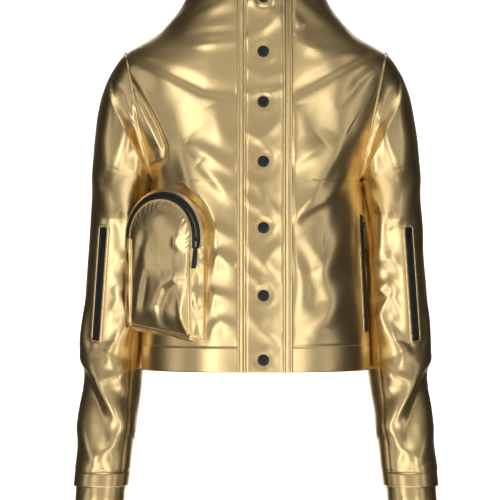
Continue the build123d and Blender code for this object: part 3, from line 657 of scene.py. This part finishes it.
STRIP_LOW, STRIP_HIGH = HEM + 0.2, COLLAR_TOP - 0.2
flap_grid = strip(
    "snap_flap", FLAP_LEFT, FLAP_RIGHT, STRIP_LOW, STRIP_HIGH, 4.6, 2.0, FLAP_FOLDS, True, "flap",
    ["flap_outer", "flap_facing", "flap_seam_allowance"])
band_grid = strip(
    "stud_band_cloth", -8.0, 51.0, STRIP_LOW, STRIP_HIGH, 0.3, 1.0, [], False, "body", ["stud_band"])
seam_grid = strip(
    "placket_seam_cloth", FLAP_LEFT - 9, FRONT_EDGE + 2, STRIP_LOW, STRIP_HIGH, 0.3, 1.2, [], False, "body",
    ["placket_seam_band"])


def column_path(grid, x):
    """A strip's column nearest to x, with its outward directions."""
    xs, p, n = grid
    column = int(np.argmin(np.abs(xs[0] - x)))
    return p[:, column], n[:, column]


for number, (grid, x, body) in enumerate([
    (flap_grid, FLAP_LEFT + 3.2, "flap"), (flap_grid, FLAP_RIGHT - 4.5, "flap"), (band_grid, 46.5, "body"),
    (seam_grid, FLAP_LEFT - 5.0, "body"),
]):
    path, normals = column_path(grid, x)
    row = thread(f"front_stitches_{number}", path, normals, gold_thread)
    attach(row, body)


# ---------------------------------------------------------------- sleeves
def sleeve_sections(count):
    """Dense run of sections down the right-hand (+x) sleeve: centre, the two half axes' directions and sizes."""
    pivot = np.array([UNDERARM[0] + 0.5, -45.0, UNDERARM[1] - 0.3])
    rows = []
    for rise, reach, half_depth in SLEEVE_HEAD:
        along = np.array([np.cos(np.radians(rise)), 0, np.sin(np.radians(rise))])
        rows.append(np.concatenate([pivot + along * 2, pivot + along * reach, [pivot[1], half_depth]]))
    for z, inner, outer, y, half_depth in SLEEVE_ARM:
        rows.append(np.array([inner, y, z, outer, y, z, y, half_depth]))
    rows = np.array(rows)
    middles = (rows[:, :3] + rows[:, 3:6]) / 2
    run = np.concatenate([[0], np.cumsum(np.linalg.norm(np.diff(middles, axis=0), axis=1))])
    at = np.linspace(0, run[-1], count)
    total = 0
    for offset, weight in ((-14, 0.15), (-7, 0.22), (0, 0.26), (7, 0.22), (14, 0.15)):
        spots = np.clip(at + offset * np.minimum(1, np.minimum(at, run[-1] - at) / 14), 0, run[-1])
        total = total + weight * np.stack([np.interp(spots, run, rows[:, c]) for c in range(8)], -1)
    return total


def sleeve_points(count=300, around=150):
    """Rows of points down the +x sleeve, their outward directions, and the angles round it."""
    rows = sleeve_sections(count)
    inner, outer, half_depth = rows[:, :3], rows[:, 3:6], rows[:, 7]
    middle = (inner + outer) / 2
    half = np.linalg.norm(outer - inner, axis=1) / 2
    along = (outer - inner) / (2 * half[:, None])
    angle = np.linspace(0, 2 * np.pi, around, endpoint=False)
    c, s = np.cos(angle)[None, :, None], np.sin(angle)[None, :, None]
    depth_axis = np.array([0, 1.0, 0])
    p = middle[:, None] + along[:, None] * c * half[:, None, None] + depth_axis * s * half_depth[:, None, None]
    n = along[:, None] * c * half_depth[:, None, None] + depth_axis * s * half[:, None, None]
    n = n / np.linalg.norm(n, axis=-1, keepdims=True)
    return p, n, angle


SLEEVE_HEM = -672.0
BEND_START, BEND_END = (155, -45, -190), (235, -45, -215)


def make_sleeve(side):
    """Creased sleeve, run over the shoulder from the body's armhole down the arm. side is 1 for the wearer's
    left.
    """
    name = "left" if side > 0 else "right"
    p, n, angle = sleeve_points()
    # the first rows close onto the edge of the body's armhole
    half_width, middle, half_depth = torso_oval(p[..., 2])
    edge_depth = half_depth * np.sqrt(np.clip(1 - (p[..., 0] / (half_width + 1.0)) ** 2, 0, 1))
    on_edge = middle + (edge_depth + 0.4) * np.tanh(6 * np.sin(angle))
    row = np.arange(len(p))[:, None]
    seam = 1 - step(row, 0, 18)
    p[..., 1] += seam * (on_edge - p[..., 1])
    plain = p
    x, z = -p[..., 0], p[..., 2]
    front = step(-n[..., 1], -0.25, 0.25)
    seed = 50 if side > 0 else 60
    shift = 1.8 * crinkle(p, (52, 56, 84), seed, 2) + 0.12 * crinkle(p, (15, 16, 19), seed + 9, 1)
    shift += folds(x, z, SLEEVE_FOLDS, 1.7, 1.15) * (0.35 + 0.65 * front)
    shift += 3.2 * np.exp(-(((z + 305) / 45) ** 2)) * step(-np.cos(angle)[None, :], 0.3, 0.9)
    seam_x = 158 + (189 - 158) * (-266 - z) / (690 - 266)
    shift += groove(p[..., 0] - seam_x, 0, 1.4, 1.1) * step(-z, 300, 330)
    calm, window = zip_mask(p, SLEEVE_ZIP, SLEEVE_LENGTH)
    shift = np.where(window, -4.0, shift * calm)
    shift = shift * step(row, 0, 5)
    hem = step(z, SLEEVE_HEM, SLEEVE_HEM - 3)
    shift = shift * (1 - 0.7 * hem) + 0.3 * hem + groove(z, SLEEVE_HEM, 1.2, 0.9)
    p = p + n * shift[..., None]
    p[..., 0] *= side
    if side > 0:
        p = p[:, ::-1]
    piece = grid_object(f"{name}_sleeve_cloth", p, closed=True)
    thicken(piece, CLOTH, gold, lining)
    declare(plain, closed=True)
    start, end = [Vector((side * x, y, z)) * MM for x, y, z in (BEND_START, BEND_END)]
    nodes = [f"{name}_sleeve_upper", f"{name}_sleeve_under"]
    finish_cloth(piece, "body", nodes, blend=("body", f"{name}_sleeve", start, end))


def make_cuff(side):
    """Short cuff that comes out of the sleeve's hem."""
    name = "left" if side > 0 else "right"
    z = np.linspace(-728, -676, 30)
    table = np.array([(-676, 178, 255.6, -61.5, 40.6), (-728, 183.5, 258.5, -75.5, 38.5)])
    inner, outer, y, half_depth = smooth_levels(table, z, 0.1)
    angle = np.linspace(0, 2 * np.pi, 120, endpoint=False)
    zs = z[:, None] + 0 * angle
    inset = 3.0
    a, b = ((outer - inner) / 2 - inset)[:, None], (half_depth - inset)[:, None]
    p = np.stack([((inner + outer) / 2)[:, None] + a * np.cos(angle), y[:, None] + b * np.sin(angle), zs], -1)
    n = np.stack([b * np.cos(angle), a * np.sin(angle), 0 * zs], -1)
    n /= np.linalg.norm(n, axis=-1, keepdims=True)
    shift = 0.8 * crinkle(p, (22, 22, 26), 71)
    p = p + n * shift[..., None]
    p[..., 0] *= side
    if side > 0:
        p = p[:, ::-1]
    piece = grid_object(f"{name}_cuff_cloth", p[:, ::-1], closed=True)
    thicken(piece, CLOTH, gold, lining)
    declare(p, closed=True)
    finish_cloth(piece, f"{name}_sleeve", [f"{name}_sleeve_cuff"])


for side in (1, -1):
    make_sleeve(side)
    make_cuff(side)

# ---------------------------------------------------------------- zip welts
def rounded_frame(half_width, half_length, radius, count=160):
    """Closed path of a rounded rectangle, with its outward directions."""
    corners = []
    for cx, cy, first in ((1, 1, 0), (-1, 1, 90), (-1, -1, 180), (1, -1, 270)):
        turn = np.radians(np.linspace(first, first + 90, 9))
        out = np.stack([np.cos(turn), np.sin(turn)], -1)
        corners.append((np.array([cx * (half_width - radius), cy * (half_length - radius)]) + out * radius, out))
    points = np.concatenate([c[0] for c in corners])
    outs = np.concatenate([c[1] for c in corners])
    loop = np.concatenate([points, points[:1]])
    run = np.concatenate([[0], np.cumsum(np.linalg.norm(np.diff(loop, axis=0), axis=1))])
    at = np.linspace(0, run[-1], count, endpoint=False)
    path = np.stack([np.interp(at, run, loop[:, c]) for c in (0, 1)], -1)
    loop_out = np.concatenate([outs, outs[:1]])
    out = np.stack([np.interp(at, run, loop_out[:, c]) for c in (0, 1)], -1)
    return path, out / np.linalg.norm(out, axis=1, keepdims=True)


def make_welt(name, axes, length, side, body, nodes):
    """Folded cloth edge round a zip, stitched down."""
    low, across, up, normal = axes
    path, out = rounded_frame(5.6, length / 2 + 1.9, 1.5, 360)
    # reach out from the opening and height, from the tape up over the fold and down into the cloth
    profile = [
        (0.3, -2.6), (0.0, 0.2), (0.3, 0.9), (1.2, 1.15), (2.4, 0.95), (3.6, 0.75), (4.3, 0.2), (4.6, -1.2),
        (4.7, -3.6),
    ]
    rings = []
    ripple = 0.25 * np.sin(np.arange(len(path)) * 0.35) + 0.2 * np.sin(np.arange(len(path)) * 0.83)
    for reach, height in profile:
        flat = path + out * reach
        lift = height + ripple * (reach / 4.7)
        rings.append(low + flat[:, :1] * across + (flat[:, 1:] + length / 2) * up + lift[:, None] * normal)
    p = np.stack(rings)
    stitches = rings[4]
    p[..., 0] *= side
    stitches = np.concatenate([stitches, stitches[:1]]) * np.array([side, 1, 1])
    normals = np.repeat((normal * np.array([side, 1, 1]))[None], len(stitches), axis=0)
    piece = grid_object(name, p[:, ::-1] if side > 0 else p, closed=True)
    thicken(piece, 0.5, gold, gold)
    declare(p, closed=True)
    finish_cloth(piece, body, nodes)
    row = thread(f"{name}_stitches", stitches, normals, gold_thread, radius=0.28)
    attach(row, body)


make_welt("side_zip_welt_cloth", SIDE_ZIP, SIDE_LENGTH, 1, "body", ["side_zip_welt"])
for side, name in ((1, "left"), (-1, "right")):
    nodes = [f"{name}_sleeve_zip_welt"]
    make_welt(f"{name}_zip_welt_cloth", SLEEVE_ZIP, SLEEVE_LENGTH, side, f"{name}_sleeve", nodes)

# ---------------------------------------------------------------- the arched pocket
REACH, FLARE, DEPTH = 53.2, 15.0, 10.0
SLANT = np.hypot(FLARE, DEPTH)
LEAN_OUT, LEAN_BACK = FLARE / SLANT, DEPTH / SLANT
DROP_OUTER, DROP_INNER = 123.0, 138.6
TRACK_LOW, TRACK_HIGH, TAPE_FROM, TAPE_TO = -14.0, 180.0, 2.2, 13.2
TURNED_IN = 40

# Creases of the pocket's face, in its own across and up.
POCKET_FOLDS = [
    ([(-24, 14), (-34, -22), (-44, -54)], -3.4, 5, 5),
    ([(-20, -52), (-27, -96)], -2.6, 4, 4),
    ([(52, -52), (30, -54), (8, -66), (-6, -94), (-2, -124)], 3.8, 4, 9),
    ([(20, -72), (6, -100), (8, -128)], -2.2, 5, 5),
    ([(34, 6), (30, -8), (40, -16)], 2.4, 4, 4),
    ([(44, -70), (40, -100), (44, -132)], 2.8, 4, 4),
    ([(-46, 6), (-40, -40)], 1.8, 6, 6),
    ([(-8, 30), (4, 10), (10, -20)], 1.6, 9, 9),
]


def pocket_outline(count):
    """Closed outline of the pocket's face, anticlockwise from the arch's inner end."""
    turn = np.radians(np.linspace(0, 180, 60))
    arch = np.stack([REACH * np.cos(turn), REACH * np.sin(turn)], -1)
    corners = np.array([
        (-REACH, -DROP_OUTER + 4), (-REACH + 3, -DROP_OUTER - 0.5), (REACH - 3, -DROP_INNER),
        (REACH, -DROP_INNER + 4), (REACH, 0),
    ])
    loop = np.concatenate([arch, corners])
    run = np.concatenate([[0], np.cumsum(np.linalg.norm(np.diff(loop, axis=0), axis=1))])
    at = np.linspace(0, run[-1], count, endpoint=False)
    path = np.stack([np.interp(at, run, loop[:, c]) for c in (0, 1)], -1)
    ahead = np.roll(path, -2, axis=0) - np.roll(path, 2, axis=0)
    out = np.stack([ahead[:, 1], -ahead[:, 0]], -1)
    return path, out / np.linalg.norm(out, axis=1, keepdims=True), at


def inside_torso(p, margin):
    """True where a point is inside the body's oval grown by margin."""
    half_width, middle, half_depth = torso_oval(p[..., 2])
    return (p[..., 0] / (half_width + margin)) ** 2 + ((p[..., 1] - middle) / (half_depth + margin)) ** 2 < 1


def make_pocket():
    """Face and wall of the arched pocket in one cloth, open at the zip, and the stitches round its seam."""
    path, out, run = pocket_outline(560)
    turn = np.degrees(np.arctan2(path[:, 1], path[:, 0]))
    in_track = (turn > TRACK_LOW - 1) & (turn < TRACK_HIGH + 1) & (path[:, 1] > -16)
    in_track |= (path[:, 1] > -14) & (path[:, 1] <= 0) & (path[:, 0] > 0)
    zipped = in_track.astype(float)
    centre = np.array([0.0, -38.0])
    rings = []
    for s in np.concatenate([np.linspace(0.0005, 0.86, 52), np.linspace(0.875, 1.0, 14)]):
        flat = centre + (path - centre) * s
        u, v = flat[:, 0], flat[:, 1]
        edge = np.linalg.norm(path - flat, axis=1)
        swell = 6.5 * step(edge, -8, 34) - 1.0
        lift = swell + folds(u, v, POCKET_FOLDS, 1.6, 0.6) * step(edge, 0, 9)
        lift += 0.45 * crinkle(np.stack([u, v, 0 * u], -1), (30, 34, 30), 81)
        lift += 0.16 * zipped * np.sin(run * 0.62 + 1.3 * np.sin(run * 0.19)) * np.exp(-(((edge - 6) / 3.5) ** 2))
        pinch = (1 - zipped) * np.exp(-((edge / 1.6) ** 2)) * (1.6 + 0.7 * np.sin(run * 0.11))
        pinch -= (1 - zipped) * 1.2 * np.exp(-(((edge - 4.2) / 1.5) ** 2))
        lift = lift * step(edge, -2, 4) + pinch
        rings.append(POCKET_C + u[:, None] * POCKET_X + v[:, None] * POCKET_Y + lift[:, None] * POCKET_N)
    seam_path, seam_found = np.zeros((len(path), 3)), np.zeros(len(path), bool)
    lower = step(-path[:, 1], 60, 112) * (np.abs(out[:, 1]) > 0.5)
    for d in np.concatenate([np.linspace(0.3, SLANT, 44), np.linspace(SLANT + 1, SLANT + TURNED_IN, 20)]):
        beyond = max(d - SLANT, 0) / TURNED_IN
        wide, deep = min(d, SLANT) * LEAN_OUT, min(d, SLANT) * LEAN_BACK + TURNED_IN * beyond
        flat = path + out * (wide * (1 - 0.6 * lower))[:, None]
        foot = path * (REACH - 4.2) / REACH * np.array([1, 0.93]) + np.array([19.2, 4])
        flat = flat + (foot - flat) * beyond
        wall_out = (out[:, :1] * POCKET_X + out[:, 1:] * POCKET_Y) * LEAN_BACK + POCKET_N * LEAN_OUT
        p = POCKET_C + flat[:, :1] * POCKET_X + flat[:, 1:] * POCKET_Y - deep * POCKET_N
        open_zip = zipped * (1 - step(abs(d - (TAPE_FROM + TAPE_TO) / 2), 5.3, 5.6))
        wave = 0.8 * crinkle(p, (17, 17, 24), 91) * step(d, 0, 5) * (1 - zipped)
        wave += (1 - zipped) * 1.6 * np.sin(run * 0.10 + 1.0) * np.exp(-(((d - 9) / 6) ** 2))
        shift = np.where(open_zip > 0.5, -3.6, wave + 0.3)
        p = p + wall_out * shift[:, None]
        sunk = inside_torso(p, 1.5)
        fresh = sunk & ~seam_found
        seam_path[fresh] = p[fresh]
        seam_found |= sunk
        rings.append(p)
    piece = grid_object("arched_pocket_cloth", np.stack(rings)[:, ::-1], closed=True)
    thicken(piece, 1.2, gold, lining)
    declare(np.stack(rings), closed=True)
    finish_cloth(piece, "body", ["pocket_gusset", "pocket_front"])
    # topstitching on the body, a little outside the seam
    z = seam_path[:, 2] + out[:, 1] * 5.0
    x = seam_path[:, 0] + out[:, 0] * 5.0
    keep = np.arange(len(path)) < 250
    on_body, normal = torso_points(x[keep], z[keep], 0.2, by_x=True)
    row = thread("pocket_stitches", on_body, normal, gold_thread)
    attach(row, "body")


make_pocket()

# ---------------------------------------------------------------- hang loop and pocket bag
half_bow = [(0, -9.0), (7, -8.0), (13, -5.2), (20, -0.5), (28, -1.1)]
path = np.array([(-x, y) for x, y in half_bow[:0:-1]] + half_bow, float)
at = np.linspace(0, len(path) - 1, 90)
bow = np.stack([np.interp(at, np.arange(len(path)), path[:, c]) for c in (0, 1)], -1)
for _ in range(12):
    bow[1:-1] = (bow[:-2] + 2 * bow[1:-1] + bow[2:]) / 4
rows = []
for width in np.linspace(-3.5, 3.5, 9):
    sag = 0.25 * np.sin(bow[:, 0] * 0.25) * (width / 3.5)
    rows.append(np.stack([bow[:, 0], bow[:, 1] + sag, np.full(len(bow), width)], -1))
loop = grid_object("hang_loop_tape", np.stack(rows))
thicken(loop, 1.0, loop_black, loop_black, 0)
declare(np.stack(rows))
finish_cloth(loop, "body", ["hang_loop"])

BAG_LOW, BAG_HEIGHT, BAG_HALF_THICK = -478, 160, 1.8
mouth, deep_end = np.array([139.0, -74.0]), np.array([72.0, -136.0])
length = np.linalg.norm(deep_end - mouth)
inwards = (deep_end - mouth) / length
beside = np.array([-inwards[1], inwards[0]])
turn = np.linspace(0, 2 * np.pi, 80, endpoint=False)
u = length / 2 + length / 2 * np.cos(turn)
bulge = np.sign(np.sin(turn)) * np.abs(np.sin(turn)) ** 0.4
rows = []
for v in np.linspace(0, 1, 70):
    z = BAG_LOW + BAG_HEIGHT * v
    thick = BAG_HALF_THICK * np.sqrt(np.clip(1 - (2 * v - 1) ** 6, 0.02, 1)) * bulge
    thick = thick * (1 + 0.2 * np.sin(u * 0.3 + v * 9))
    flat = mouth + u[:, None] * inwards + thick[:, None] * beside
    rows.append(np.stack([flat[:, 0], flat[:, 1], np.full(len(turn), z)], -1))
bag = grid_object("side_pocket_bag_cloth", np.stack(rows), closed=True)
thicken(bag, 0.5, lining, lining)
declare(np.stack(rows), closed=True)
finish_cloth(bag, "body", ["side_pocket_bag"])

# ---------------------------------------------------------------- stage, camera and light
FRAME_WIDTH, DISTANCE = 0.700, 4.0
aim = Vector((-0.0084, 0, -0.3612))
camera = bpy.data.objects.new("camera", bpy.data.cameras.new("camera"))
camera.location = aim + Vector((0, -DISTANCE - 0.10, 0))
camera.rotation_euler = (np.pi / 2, 0, 0)
camera.data.sensor_width = 36.0
camera.data.lens = 36.0 * DISTANCE / FRAME_WIDTH
camera.data.clip_end = 50
bpy.context.collection.objects.link(camera)
bpy.context.scene.camera = camera


LIT_POINT = Vector((0, 0, -0.35))


def softbox(name, place, size, power):
    """Rectangular soft light that faces the jacket's middle."""
    lamp = bpy.data.lights.new(name, "AREA")
    lamp.shape = "RECTANGLE"
    lamp.size, lamp.size_y = size
    lamp.energy = power
    light = bpy.data.objects.new(name, lamp)
    light.location = place
    light.rotation_euler = (LIT_POINT - Vector(place)).to_track_quat("-Z", "Y").to_euler()
    bpy.context.collection.objects.link(light)


softbox("left_window", (-1.7, -2.8, -0.5), (0.8, 1.7), 16)
softbox("right_window", (1.5, -3.0, -0.5), (0.7, 1.6), 12)
softbox("far_left", (-3.2, -1.3, -0.1), (1.0, 2.0), 6)
softbox("far_right", (3.0, -1.9, 0.0), (0.5, 2.0), 5)
softbox("front_low", (-0.3, -3.6, -1.4), (1.6, 0.5), 8)
softbox("top", (0, -1.6, 2.4), (2.2, 0.9), 13)

# a pale room in front, darker to the sides and behind
world = bpy.data.worlds.new("studio")
world.use_nodes = True
tree = world.node_tree
background = tree.nodes["Background"]
direction = tree.nodes.new("ShaderNodeTexCoord").outputs["Generated"]
split = tree.nodes.new("ShaderNodeSeparateXYZ")
tree.links.new(direction, split.inputs["Vector"])
walls = tree.nodes.new("ShaderNodeMath")
walls.operation = "ABSOLUTE"
tree.links.new(split.outputs["X"], walls.inputs[0])
tone = tree.nodes.new("ShaderNodeValToRGB")
tone.color_ramp.elements[0].position = 0.15
tone.color_ramp.elements[0].color = (0.46, 0.44, 0.41, 1)
tone.color_ramp.elements[1].position = 0.8
tone.color_ramp.elements[1].color = (0.07, 0.064, 0.058, 1)
tree.links.new(walls.outputs[0], tone.inputs["Fac"])
tree.links.new(tone.outputs["Color"], background.inputs["Color"])
depth = tree.nodes.new("ShaderNodeMapRange")
for socket, value in (("From Min", -0.5), ("From Max", 0.35), ("To Min", 1.0), ("To Max", 0.3)):
    depth.inputs[socket].default_value = value
tree.links.new(split.outputs["Y"], depth.inputs["Value"])
tree.links.new(depth.outputs["Result"], background.inputs["Strength"])
bpy.context.scene.world = world
bpy.context.scene.view_settings.view_transform = "Standard"

paper, tree, shader = node_material("paper")
coords = tree.nodes.new("ShaderNodeTexCoord").outputs["Object"]
tree.links.new(ramp(tree, noise_node(tree, coords, 2, 2), grey(0.88), grey(0.91)), shader.inputs["Base Color"])
shader.inputs["Roughness"].default_value = 0.9
shader.inputs["Emission Color"].default_value = (1, 1, 1, 1)
shader.inputs["Emission Strength"].default_value = 0.9
sweep = np.array([(-2.6, -1.4), (0.6, -1.4), (0.95, -1.3), (1.15, -1.0), (1.2, -0.6), (1.2, 1.8)])
half_width = 0.62
points = np.array([[(x, y, z) for x in (-half_width, half_width)] for y, z in sweep])
backdrop = grid_object("backdrop", points / MM)
backdrop.data.materials.append(paper)
